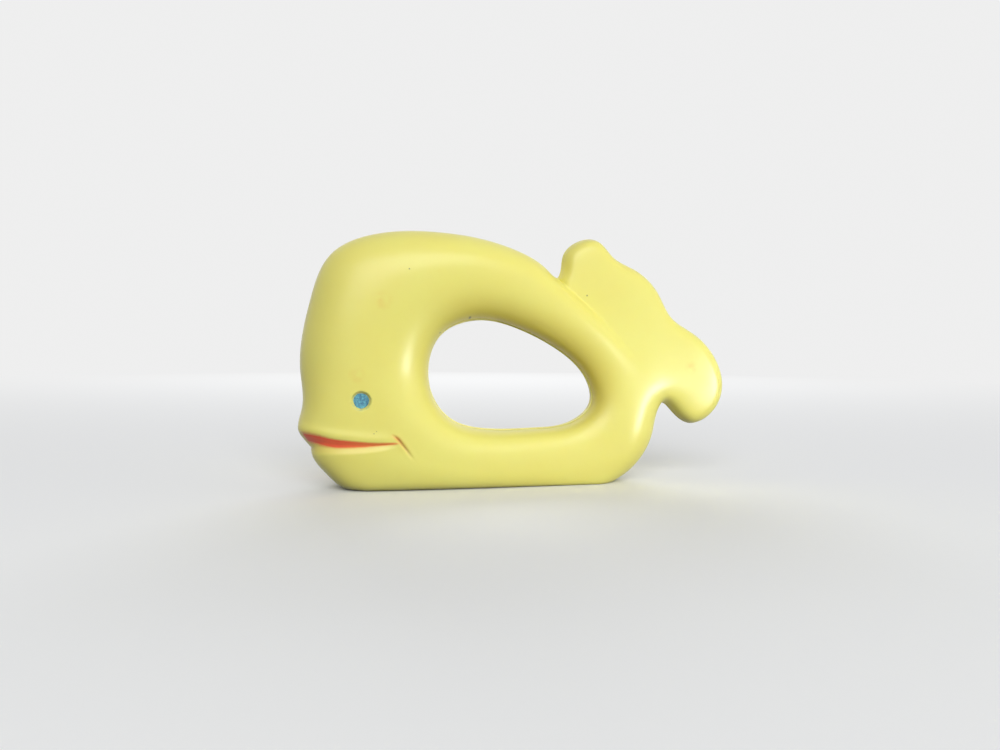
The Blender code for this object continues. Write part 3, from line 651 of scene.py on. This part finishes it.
class ShellGrid:
    """The fine grid that both half shells share: side-view points, their height with the face's relief, and
    the masks. Columns lie closer at the face, and rows closer at both edges and at the eye."""

    ROWS = 124
    COLUMNS = 540
    INNER_ROWS = 10
    FIRST_PLACE = -6.0  # where on the outline the columns begin, which is on the base
    EDGE_SHARE = 0.0004  # keeps the rows at both edges from lying too close
    # Section of the flash: how wide by its half width, and how far out by its height
    FLASH_PROFILE = ((2.2, 0.0), (1.5, 0.0), (1.0, 0.25), (0.75, 0.75), (0.4, 1.0))

    def __init__(self, whale):
        self.whale = whale
        face = Face(whale)
        coarse = whale.relaxed(0.0)
        gaps = np.linalg.norm(coarse - face.eye, axis=2)
        row, column = np.unravel_index(gaps.argmin(), gaps.shape)
        eye_share = row / whale.GRID_ROWS
        eye_place = column / whale.GRID_STEPS
        start, edge = self.FIRST_PLACE, self.EDGE_SHARE
        self.at = spread(lambda c: 1 + 2.2 * hump(c, 0.8, 1.6) + 2.2 * hump(c, eye_place, 0.5), start,
                         start + whale.spans, self.COLUMNS + 1)[:-1]
        self.shares = spread(lambda r: (0.25 / np.sqrt((r + edge) * (1 - r + edge))
                                        + 1.6 * hump(r, eye_share, 0.09)), 0.0, 1.0, self.ROWS)
        self.side = whale.grid(self.shares, self.at)
        flat, shape = self.side.reshape(-1, 2), self.side.shape[:2]
        self.depth = np.maximum(face.skin(flat), whale.across.land).reshape(shape)
        self.masks = {name: mask.reshape(shape) for name, mask in face.masks(flat).items()}
        # Painted shade: towards the hole's edge and its upper right, where the flank faces away from the
        # light, the shell gets a darker, warmer yellow.
        upwards = (self.side - whale.by_hole(0.5, 0.5)) @ (0.6, 0.8)
        self.masks["painted_shade"] = ease(self.shares, 0.55, 1.0)[:, None] * ease(upwards, -6.0, 16.0)

    def skin(self):
        """Rings of the outer skin from the outline to the hole."""
        return [self.whale.placed(p, d) for p, d in zip(self.side, self.depth)]

    def inner_skin(self):
        """Rings of the hollow's skin from the hole back to the outline: the same form, inset by the wall."""
        size = self.whale.across
        shares = (1 - np.cos(np.pi * np.arange(self.INNER_ROWS) / (self.INNER_ROWS - 1))) / 2
        side = self.whale.grid(shares, self.at, size.wall)
        depth = self.whale.thickness(side.reshape(-1, 2), size.wall).reshape(side.shape[:2])
        least = size.tongue + 2 * size.fit_gap
        return [self.whale.placed(p, np.maximum(d, least)) for p, d in zip(side, depth)][::-1]

    def rim(self, edge, sign, tongue, flash):
        """Rings across the seam at an edge: the flash that stands out of it, a butt face, then the tongue of
        one half or the rebate of the other."""
        size = self.whale.across
        inwards = sign * normals(edge)
        proud = (flash * (1 - self.whale.base_flat(edge) * (sign > 0)))[:, None]
        rings = [self.whale.placed(edge - out * proud * inwards, width * size.flash_width)
                 for width, out in self.FLASH_PROFILE]
        butt = size.seam_gap / 2
        clear = size.fit_gap / 2 if tongue else -size.fit_gap / 2
        step = edge + (size.wall / 2 + clear) * inwards
        level = butt - size.tongue if tongue else size.tongue + size.fit_gap
        ledge = ((edge - proud * inwards, butt), (step, butt), (step, level),
                 (edge + size.wall * inwards, level))
        return rings + [self.whale.placed(*place) for place in ledge]

    def half(self, tongue):
        """All rings of one half as one closed surface, and its masks ring by ring."""
        size = self.whale.across
        outer = self.rim(self.side[0], 1, tongue, size.flash_height)[::-1]
        skin = self.skin()
        gap = np.linalg.norm(self.side[-1] - self.whale.by_hole(0.22, 0.98), axis=1)
        hole = self.rim(self.side[-1], -1, tongue, size.hole_flash * (1 + 0.7 * hump(gap, 0, 7.0)))
        rings = np.array(outer + skin + hole + self.inner_skin())
        first, last = len(outer), len(outer) + len(skin)
        masks = {}
        for name, mask in self.masks.items():
            masks[name] = np.zeros(rings.shape[:2])
            masks[name][first:last] = mask
        # The seam mask paints the flash cream: partly its own paler colour, partly a painted highlight for
        # the light its crest catches. It is half as strong along the outer seam.
        flash = [out for _, out in self.FLASH_PROFILE]
        crest = np.array(flash + [1.0] * (len(hole) - len(flash)))[:, None]
        masks["seam"] = np.zeros(rings.shape[:2])
        masks["seam"][:first] = 0.5 * crest[::-1]
        masks["seam"][last:last + len(hole)] = crest
        return rings, masks


def ring_quads(count, around, closed):
    """Quads between rings of points. Each ring is closed, and the last may join the first."""
    index = np.arange(count * around).reshape(count, around)
    nearer, farther = (index, np.roll(index, -1, axis=0)) if closed else (index[:-1], index[1:])
    quads = np.stack((nearer, np.roll(nearer, -1, axis=1), np.roll(farther, -1, axis=1), farther), axis=-1)
    return quads.reshape(-1, 4)


def surface(name, rings, material, body, nodes, capped=False):
    """A closed piece through a stack of rings in millimetres. The last ring joins the first, or with caps
    the two end rings are filled. Faces are turned outwards by the sign of the volume."""
    count, around = rings.shape[:2]
    quads = ring_quads(count, around, not capped)
    points = rings.reshape(-1, 3) * MM
    a, b, c, d = (points[quads[:, k]] for k in range(4))
    volume = np.einsum("pk,pk->", a, np.cross(b, c) + np.cross(c, d))
    faces = quads.tolist()
    if capped:
        first, last = np.arange(around), np.arange(around) + (count - 1) * around
        faces += [first[::-1].tolist(), last.tolist()]
    if volume < 0:
        faces = [face[::-1] for face in faces]
    mesh = bpy.data.meshes.new(name)
    mesh.from_pydata(points, [], faces)
    mesh.shade_smooth()
    mesh.set_sharp_from_angle(angle=SHARP_ANGLE)
    mesh.materials.append(material)
    piece = bpy.data.objects.new(name, mesh)
    bpy.context.scene.collection.objects.link(piece)
    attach(piece, body)
    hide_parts(*nodes)
    return piece


def paint(name, rings, material, slot):
    """A paint piece on each side of the whale. It replaces the solid that is named after its slot."""
    for label, side in SIDES:
        surface(f"{label}_{name}", rings * (1, side, 1), material, "shell", [f"{label}_{slot}"],
                capped=True)


def add_masks(piece, masks):
    """Store masks on a piece as point attributes."""
    for name, mask in masks.items():
        piece.data.attributes.new(name, "FLOAT", "POINT").data.foreach_set("value", mask.ravel())


def feed(tree, node, inputs):
    """Set a node's inputs, by name or number: each has a value or a socket to link."""
    for name, value in inputs.items():
        if isinstance(value, bpy.types.NodeSocket):
            tree.links.new(value, node.inputs[name])
        else:
            node.inputs[name].default_value = value


def put(tree, kind, inputs, **settings):
    """Add a shader node with its inputs and its own options."""
    node = tree.nodes.new(kind)
    for name, value in settings.items():
        setattr(node, name, value)
    feed(tree, node, inputs)
    return node


def mixed(tree, factor, first, second):
    """A colour mix of two colours or sockets by a factor or socket."""
    first, second = (c if isinstance(c, bpy.types.NodeSocket) else (*c, 1.0) for c in (first, second))
    return put(tree, "ShaderNodeMix", {"Factor": factor, 6: first, 7: second}, data_type="RGBA").outputs[2]


def maths(tree, operation, first, second):
    """A clamped sum, product or other operation of two values or sockets."""
    node = put(tree, "ShaderNodeMath", {0: first, 1: second}, operation=operation, use_clamp=True)
    return node.outputs[0]


def times(tree, first, second):
    """The product of two values or sockets, clamped."""
    return maths(tree, "MULTIPLY", first, second)


def ramp(tree, value, low, high, start=0.0, end=1.0):
    """Map a value from low..high to start..end, held at both ends."""
    limits = {"From Min": low, "From Max": high, "To Min": start, "To Max": end}
    return put(tree, "ShaderNodeMapRange", {"Value": value, **limits}).outputs["Result"]


def noise(tree, vector, scale, detail=2.0, roughness=0.5):
    """A noise value on a vector, at a scale per metre."""
    inputs = {"Vector": vector, "Scale": scale, "Detail": detail, "Roughness": roughness}
    return put(tree, "ShaderNodeTexNoise", inputs).outputs["Fac"]


def bumped(tree, height, strength, distance):
    """The normal of a surface raised by a height value, over a distance in metres."""
    inputs = {"Height": height, "Strength": strength, "Distance": distance}
    return put(tree, "ShaderNodeBump", inputs).outputs["Normal"]


def group(name, inputs, outputs):
    """A new shader node group with float outputs: its tree, its inputs' sockets and its output node."""
    tree = bpy.data.node_groups.new(name, "ShaderNodeTree")
    for label, kind in inputs:
        tree.interface.new_socket(label, in_out="INPUT", socket_type=kind)
    for label in outputs:
        tree.interface.new_socket(label, in_out="OUTPUT", socket_type="NodeSocketFloat")
    return tree, tree.nodes.new("NodeGroupInput").outputs, tree.nodes.new("NodeGroupOutput")


def mould_group():
    """The uneven tone of moulded plastic: broad clouds and fine mottling, and the ripple of its skin."""
    tree, given, out = group("Moulded tone", [("Place", "NodeSocketVector")], ["Tone", "Ripple"])
    clouds = noise(tree, given["Place"], 38.0, 2.0)
    fine = noise(tree, given["Place"], 260.0, 3.0, 0.6)
    tone = maths(tree, "ADD", ramp(tree, clouds, 0.35, 0.7, 0.0, 0.525), times(tree, fine, 0.25))
    feed(tree, out, {"Tone": tone, "Ripple": noise(tree, given["Place"], 120.0, 1.0)})
    return tree


def wear_group():
    """Marks of use: sparse dark specks in cells of a Voronoi pattern, and fine scratches, which are the
    crests of a noise drawn out along one direction, in a few patches."""
    inputs = [("Place", "NodeSocketVector"), ("Speck size", "NodeSocketFloat")]
    tree, given, out = group("Use marks", inputs, ["Specks", "Scratches"])
    cells = put(tree, "ShaderNodeTexVoronoi", {"Vector": given["Place"], "Scale": 210.0})
    draw = put(tree, "ShaderNodeSeparateColor", {"Color": cells.outputs["Color"]}).outputs["Red"]
    chosen = maths(tree, "GREATER_THAN", draw, 0.965)
    small = maths(tree, "LESS_THAN", cells.outputs["Distance"], given["Speck size"])
    turned = {"Vector": given["Place"], "Rotation": (0.3, 0.8, 0.0), "Scale": (1.0, 1.0, 16.0)}
    drawn = put(tree, "ShaderNodeMapping", turned, vector_type="TEXTURE").outputs["Vector"]
    thin = ramp(tree, noise(tree, drawn, 1600.0, 1.0), 0.66, 0.74)
    some = ramp(tree, noise(tree, given["Place"], 60.0, 1.0), 0.52, 0.68)
    feed(tree, out, {"Specks": times(tree, chosen, small), "Scratches": times(tree, thin, some)})
    return tree


def new_material(name):
    """An empty node material with its Principled shader and the Object coordinates."""
    material = bpy.data.materials.new(name)
    material.use_nodes = True
    tree = material.node_tree
    place = tree.nodes.new("ShaderNodeTexCoord").outputs["Object"]
    return material, tree, tree.nodes["Principled BSDF"], place


def attribute(tree, name):
    """A mask that is stored on the piece."""
    return put(tree, "ShaderNodeAttribute", {}, attribute_name=name).outputs["Fac"]


def spot(tree, place, whale, x, z, radius):
    """A soft round mark on both sides of the whale, at a side-view place."""
    flat = put(tree, "ShaderNodeVectorMath", {0: place, 1: (1.0, 0.0, 1.0)}, operation="MULTIPLY").outputs[0]
    gap = put(tree, "ShaderNodeVectorMath", {0: flat, 1: ((x - whale.centre) * MM, 0.0, z * MM)},
              operation="DISTANCE").outputs["Value"]
    return ramp(tree, gap, 0.2 * radius * MM, radius * MM, 1.0, 0.0)


def shell_plastic(colours, whale):
    """Glossy pale-yellow plastic, mottled, with cream flash at the seam that is partly painted highlight,
    painted shade on the finger hole's upper right flank, overspray and tints at the mouth, darkening along
    the smile crease, amber stains, dark specks and fine scratches."""
    material, tree, shader, place = new_material("shell_plastic")
    mould = put(tree, "ShaderNodeGroup", {"Place": place}, node_tree=mould_group()).outputs
    wear = put(tree, "ShaderNodeGroup", {"Place": place, "Speck size": 0.06}, node_tree=wear_group()).outputs
    grain = noise(tree, place, 900.0, 2.0, 0.7)
    stains, dirt = 0.0, wear["Specks"]
    for stain in STAINS:
        stains = maths(tree, "MAXIMUM", stains, times(tree, spot(tree, place, whale, *stain), 0.45))
    for speck in SPECKS:
        dirt = maths(tree, "MAXIMUM", dirt, spot(tree, place, whale, *speck))
    stains = times(tree, stains, ramp(tree, noise(tree, place, 420.0), 0.3, 0.65))
    stains = maths(tree, "MAXIMUM", stains, times(tree, attribute(tree, "lip_tint"), 0.3))
    spray = times(tree, attribute(tree, "mouth_spray"), ramp(tree, grain, 0.25, 0.6, 0.55, 1.0))
    rub = times(tree, attribute(tree, "eye_rub"), ramp(tree, grain, 0.45, 0.7, 0.0, 0.45))
    tone = colours.plastic
    for mask, share, layer in (
            # the second layer is painted shade on the finger hole's upper right flank
            (mould["Tone"], 0.55, colours.plastic_deep), (attribute(tree, "painted_shade"), 0.6, colours.painted_shade),
            # the cream on the seam flash is partly a painted highlight
            (stains, 1.0, colours.stain), (attribute(tree, "seam"), 0.8, colours.flash),
            (spray, 0.75, colours.mouth), (attribute(tree, "crease_darkening"), 0.75, colours.crease),
            (rub, 1.0, colours.eye), (dirt, 0.8, colours.speck),
            (wear["Scratches"], 0.1, colours.plastic_deep)):
        tone = mixed(tree, times(tree, mask, share), tone, layer)
    feed(tree, shader, {"Base Color": tone, "Roughness": ramp(tree, mould["Tone"], 0.2, 0.9, 0.32, 0.38),
                        "Normal": bumped(tree, mould["Ripple"], 0.18, 0.4 * MM), "IOR": 1.5,
                        "Subsurface Weight": 0.15, "Subsurface Radius": (1.0, 0.8, 0.25),
                        "Subsurface Scale": 1.5 * MM})
    return material


def mouth_paint(colours):
    """Matt red paint, darker where it lies thick and paler towards the mouth's corner."""
    material, tree, shader, place = new_material("mouth_paint")
    patches = ramp(tree, noise(tree, place, 300.0, 3.0, 0.6), 0.35, 0.7, 0.0, 0.35)
    tone = mixed(tree, patches, colours.mouth, colours.mouth_dark)
    back = put(tree, "ShaderNodeSeparateXYZ", {"Vector": place}).outputs["X"]
    thinning = [x * MM for x in MOUTH_THINNING]
    tone = mixed(tree, ramp(tree, back, *thinning, 0.0, 0.55), tone, colours.mouth_thin)
    feed(tree, shader, {"Base Color": tone, "Roughness": 0.42,
                        "Normal": bumped(tree, noise(tree, place, 1500.0, 2.0), 0.2, 0.1 * MM)})
    return material


def eye_paint(colours):
    """Blue paint with turquoise and dark flecks."""
    material, tree, shader, place = new_material("eye_paint")
    fleck = noise(tree, place, 1500.0, 2.0, 0.6)
    tone = mixed(tree, ramp(tree, fleck, 0.53, 0.68), colours.eye, colours.eye_light)
    tone = mixed(tree, ramp(tree, fleck, 0.47, 0.33), tone, colours.eye_dark)
    feed(tree, shader, {"Base Color": tone, "Roughness": 0.35, "Normal": bumped(tree, fleck, 0.4, 0.2 * MM)})
    return material


def pellet_plastic(colours):
    """Cream bead plastic with a faint mottle."""
    material, tree, shader, place = new_material("pellet_plastic")
    mottle = ramp(tree, noise(tree, place, 600.0, 2.0), 0.3, 0.7, 0.0, 0.3)
    tone = mixed(tree, mottle, colours.pellet, [0.8 * c for c in colours.pellet])
    feed(tree, shader, {"Base Color": tone, "Roughness": 0.4})
    return material


class RATTLE_OT_half_shells(Operator):
    """Build the two hollow half shells with the relief of the face"""

    bl_idname = "rattle.half_shells"
    bl_label = "Half shells"

    def execute(self, context):
        whale = Whale(context.scene)
        grid = ShellGrid(whale)
        material = shell_plastic(context.scene.rattle_colours, whale)
        for label, side in SIDES:
            rings, masks = grid.half(tongue=label == "near")
            piece = surface(f"{label}_shell", rings * (1, side, 1), material, "shell",
                            [f"{label}_half_shell"])
            add_masks(piece, masks)
        return {"FINISHED"}


class RATTLE_OT_mouths(Operator):
    """Build the paint films on the two mouths"""

    bl_idname = "rattle.mouths"
    bl_label = "Mouths"

    LENGTH_STEPS = 120
    WIDTH_STEPS = 16
    FILM_START = 1.6  # behind the snout's outline at each height
    FILM_END = 27.3  # behind the snout
    FRONT_ROUNDS = 8

    def film(self, whale, face):
        """Loops round the film's section along the mouth: over it from the upper to the lower lip line, and
        back under it, a film's thickness into the step between the lips. Each run between the lines starts
        a little behind the outline's own front at its height, found by going to and fro between x and z."""
        share = np.linspace(0, 1, self.LENGTH_STEPS)[:, None]
        across = np.linspace(0.02, 0.98, self.WIDTH_STEPS)[None]
        end = whale.snout + self.FILM_END
        x = whale.snout + self.FILM_END * share + 0 * across
        for _ in range(self.FRONT_ROUNDS):
            upper, lower = face.paint_edges(x)
            z = upper + across * (lower - upper)
            front = face.front(z) + self.FILM_START
            x = front + share * (end - front)
        points = np.stack((x, z), axis=-1).reshape(-1, 2)
        skin = face.skin(points)
        shape = (*z.shape, 3)
        lift = (0.5 * whale.face.film * np.sin(np.pi * across) ** 0.5 * np.ones_like(z)).ravel()
        over = whale.placed(points, skin + lift + 0.01).reshape(shape)
        under = whale.placed(points, skin - whale.face.film).reshape(shape)
        return np.concatenate((over, under[:, ::-1]), axis=1)

    def execute(self, context):
        whale = Whale(context.scene)
        loops = self.film(whale, Face(whale))
        paint("mouth", loops, mouth_paint(context.scene.rattle_colours), "mouth_paint")
        return {"FINISHED"}


class RATTLE_OT_eyes(Operator):
    """Build the painted discs in the two eyes"""

    bl_idname = "rattle.eyes"
    bl_label = "Eyes"

    AROUND = 72
    RINGS = 14

    def disc(self, whale, face):
        """Rings from the middle of the disc's top over its uneven edge to the middle of its underside. The
        radius wavers with the angle, and the top is dished to the floor of the recess."""
        angle = np.linspace(0, 2 * np.pi, self.AROUND, endpoint=False)
        radius = face.size.eye_paint / 2 * (1 + 0.012 * np.sin(3 * angle + 0.6) + 0.006 * np.sin(7 * angle))
        out = np.concatenate((np.linspace(0.02, 0.96, self.RINGS), [1.0, 1.0], np.linspace(0.96, 0.02, 4)))
        lift = np.concatenate((np.full(self.RINGS, 0.5), [0.3, -0.3], np.full(4, -0.6))) * face.size.film
        spoke = np.stack((np.cos(angle), np.sin(angle)), axis=1)
        points = face.eye + (out[:, None] * radius)[..., None] * spoke
        flat = points.reshape(-1, 2)
        depth = (face.skin(flat).reshape(points.shape[:2]) + lift[:, None]).ravel()
        return whale.placed(flat, depth).reshape(*points.shape[:2], 3)

    def execute(self, context):
        whale = Whale(context.scene)
        rings = self.disc(whale, Face(whale))
        paint("eye", rings, eye_paint(context.scene.rattle_colours), "eye_paint")
        return {"FINISHED"}


class RATTLE_OT_pellets(Operator):
    """Build the loose beads inside"""

    bl_idname = "rattle.pellets"
    bl_label = "Pellets"

    AROUND = 48
    RINGS = 25

    def bead(self, low, high):
        """Rings of a sphere from pole to pole, with a faint ridge at its middle where its mould parts."""
        turn = np.linspace(0.02, np.pi - 0.02, self.RINGS)[:, None]
        angle = np.linspace(0, 2 * np.pi, self.AROUND, endpoint=False)[None]
        radius = (high - low)[0] / 2 * (1 + 0.006 * hump(turn, np.pi / 2, 0.05))
        ring = np.stack((radius * np.sin(turn) * np.cos(angle), radius * np.sin(turn) * np.sin(angle),
                         radius * np.cos(turn) * np.ones_like(angle)), axis=-1)
        return ring + (low + high) / 2

    def execute(self, context):
        material = pellet_plastic(context.scene.rattle_colours)
        for body, nodes in frame["record"]["behaviour"]["bodies"].items():
            if body.startswith("pellet"):
                low, high = (np.array(corner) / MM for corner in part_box(nodes[0]))
                surface(f"{body}_bead", self.bead(low, high), material, body, nodes,
                        capped=True)
        return {"FINISHED"}


class RATTLE_OT_stage(Operator):
    """Set up the pale floor, the studio light and the camera"""

    bl_idname = "rattle.stage"
    bl_label = "Stage"

    # Name, watts, azimuth and elevation in degrees, distance, width and height in metres
    LAMPS = (("front", 6.6, -6.0, 30.0, 1.0, 0.9, 0.6), ("window", 0.56, 46.0, -4.5, 0.34, 0.06, 0.024),
             ("side", 0.4, 72.0, 8.0, 1.0, 0.6, 0.3), ("back", 6.0, 172.0, 22.0, 1.0, 0.9, 0.6))
    AIM = (0.0, 0.0, 0.035)  # what the lamps look at, metres
    LOW_LIGHT = 5.0  # a lamp under this elevation is kept off the floor
    FLOOR_RADII = (0.0001, 0.15, 0.3, 0.6, 1.2, 2.5, 6.0)
    FLOOR_AROUND = 96
    FLOOR_FADE = (0.08, 0.8)  # from where to where the floor turns into the background, metres

    def seen(self, tree):
        """1 for what the camera, a reflection or a clear thing shows, and 0 for light on its way."""
        path = tree.nodes.new("ShaderNodeLightPath").outputs
        return maths(tree, "MAXIMUM", path["Is Camera Ray"],
                     maths(tree, "MAXIMUM", path["Is Glossy Ray"], path["Is Transmission Ray"]))

    def floor(self, context, colours):
        """A round floor that fades into the even background far from the object. It looks pale to the camera
        and in reflections, and throws little light back at the object."""
        radius = np.array(self.FLOOR_RADII)[:, None]
        angle = np.linspace(0, 2 * np.pi, self.FLOOR_AROUND, endpoint=False)[None]
        rings = np.stack((radius * np.cos(angle), radius * np.sin(angle), 0 * radius * angle), axis=-1)
        quads = ring_quads(*rings.shape[:2], closed=False)[:, ::-1]
        mesh = bpy.data.meshes.new("floor")
        mesh.from_pydata(rings.reshape(-1, 3), [], quads.tolist())
        material, tree, shader, place = new_material("floor")
        far = put(tree, "ShaderNodeVectorMath", {0: place}, operation="LENGTH").outputs["Value"]
        seen = self.seen(tree)
        feed(tree, shader, {"Base Color": mixed(tree, seen, colours.bounce, colours.floor), "Roughness": 0.7,
                            "Specular IOR Level": 0.0})
        glow = put(tree, "ShaderNodeEmission", {"Color": (*colours.backdrop, 1.0), "Strength": 1.0})
        level = times(tree, seen, ramp(tree, far, *self.FLOOR_FADE))
        mix = put(tree, "ShaderNodeMixShader", {0: level, 1: shader.outputs[0], 2: glow.outputs[0]})
        feed(tree, tree.nodes["Material Output"], {"Surface": mix.outputs[0]})
        mesh.materials.append(material)
        floor = bpy.data.objects.new("floor", mesh)
        context.scene.collection.objects.link(floor)

    def world(self, context, colours):
        """Even soft light from all round, seen as the pale background."""
        world = bpy.data.worlds.new("studio")
        world.use_nodes = True
        tree = world.node_tree
        tone = mixed(tree, self.seen(tree), colours.sky, colours.backdrop)
        feed(tree, tree.nodes["Background"], {"Color": tone})
        context.scene.world = world

    def lamp(self, context, name, power, azimuth, elevation, reach, width, height):
        """A soft rectangular light that looks at the object from an azimuth (0 in front of the whale's near
        side, positive to its tail) and an elevation in degrees, and a distance in metres. The light from
        behind is kept out of reflections, where it would draw a white rim, and a low light off the floor."""
        data = bpy.data.lights.new(name, "AREA")
        data.shape = "RECTANGLE"
        data.size, data.size_y = width, height
        data.energy = power
        data.color = context.scene.rattle_colours.daylight
        lamp = bpy.data.objects.new(name, data)
        lamp.visible_camera = False
        lamp.visible_glossy = azimuth < 90
        if elevation < self.LOW_LIGHT:
            spared = bpy.data.collections.new(f"{name}_spares")
            spared.objects.link(context.scene.objects["floor"])
            spared.collection_objects[0].light_linking.link_state = "EXCLUDE"
            lamp.light_linking.receiver_collection = spared
        a, e = np.radians((azimuth, elevation))
        back = np.array((np.sin(a) * np.cos(e), -np.cos(a) * np.cos(e), np.sin(e)))
        right = np.array((np.cos(a), np.sin(a), 0.0))
        lamp.matrix_world = self.looking(-back, right, np.cross(back, right), reach * back + self.AIM)
        context.scene.collection.objects.link(lamp)

    def looking(self, forward, right, up, place):
        """The matrix of a camera or lamp from its directions and its place."""
        matrix = np.eye(4)
        matrix[:3, 0], matrix[:3, 1], matrix[:3, 2], matrix[:3, 3] = right, up, -np.asarray(forward), place
        return Matrix(matrix)

    def camera(self, context, stage):
        """The camera of the photograph's view."""
        yaw, pitch, roll = stage.camera_yaw, stage.camera_pitch, stage.camera_roll
        forward = np.array((np.sin(yaw) * np.cos(pitch), np.cos(yaw) * np.cos(pitch), -np.sin(pitch)))
        level = np.array((np.cos(yaw), -np.sin(yaw), 0.0))
        upright = np.cross(level, forward)
        right = np.cos(roll) * level + np.sin(roll) * upright
        up = np.cos(roll) * upright - np.sin(roll) * level
        data = bpy.data.cameras.new("camera")
        data.lens = stage.camera_lens
        data.sensor_width = SENSOR
        data.clip_start, data.clip_end = 0.01, 20.0
        camera = bpy.data.objects.new("camera", data)
        camera.matrix_world = self.looking(forward, right, up, stage.camera_place)
        context.scene.collection.objects.link(camera)
        context.scene.camera = camera

    def execute(self, context):
        stage, colours = context.scene.rattle_stage, context.scene.rattle_colours
        self.floor(context, colours)
        self.world(context, colours)
        for name, power, *placing in self.LAMPS:
            self.lamp(context, name, power * stage.light_level, *placing)
        self.camera(context, stage)
        context.scene.view_settings.view_transform = "Standard"
        return {"FINISHED"}


class RATTLE_PT_panel(Panel):
    """Sizes, colours and the steps that build the rattle"""

    bl_label = "Whale rattle"
    bl_idname = "RATTLE_PT_panel"
    bl_space_type = "VIEW_3D"
    bl_region_type = "UI"
    bl_category = "Rattle"

    def draw(self, context):
        for step in STEPS:
            self.layout.operator(step.bl_idname)
        for name, kind in GROUPS.items():
            box = self.layout.box()
            box.label(text=kind.__doc__)
            for item in kind.__annotations__:
                box.prop(getattr(context.scene, name), item)


GROUPS = {"rattle_side": SideSizes, "rattle_across": ThicknessSizes, "rattle_face": FaceSizes,
          "rattle_colours": Colours, "rattle_stage": StageSettings}
STEPS = (RATTLE_OT_half_shells, RATTLE_OT_mouths, RATTLE_OT_eyes, RATTLE_OT_pellets, RATTLE_OT_stage)
CLASSES = (*GROUPS.values(), *STEPS, RATTLE_PT_panel)


def register():
    """Register the classes and hang the settings on the scene."""
    for item in CLASSES:
        bpy.utils.register_class(item)
    for name, kind in GROUPS.items():
        setattr(bpy.types.Scene, name, PointerProperty(type=kind))


def unregister():
    """Take the settings and the classes away again."""
    for name in GROUPS:
        delattr(bpy.types.Scene, name)
    for item in reversed(CLASSES):
        bpy.utils.unregister_class(item)


def main():
    """Build every piece and the stage."""
    register()
    bpy.ops.rattle.half_shells()
    bpy.ops.rattle.mouths()
    bpy.ops.rattle.eyes()
    bpy.ops.rattle.pellets()
    bpy.ops.rattle.stage()


if __name__ == "__main__":
    main()
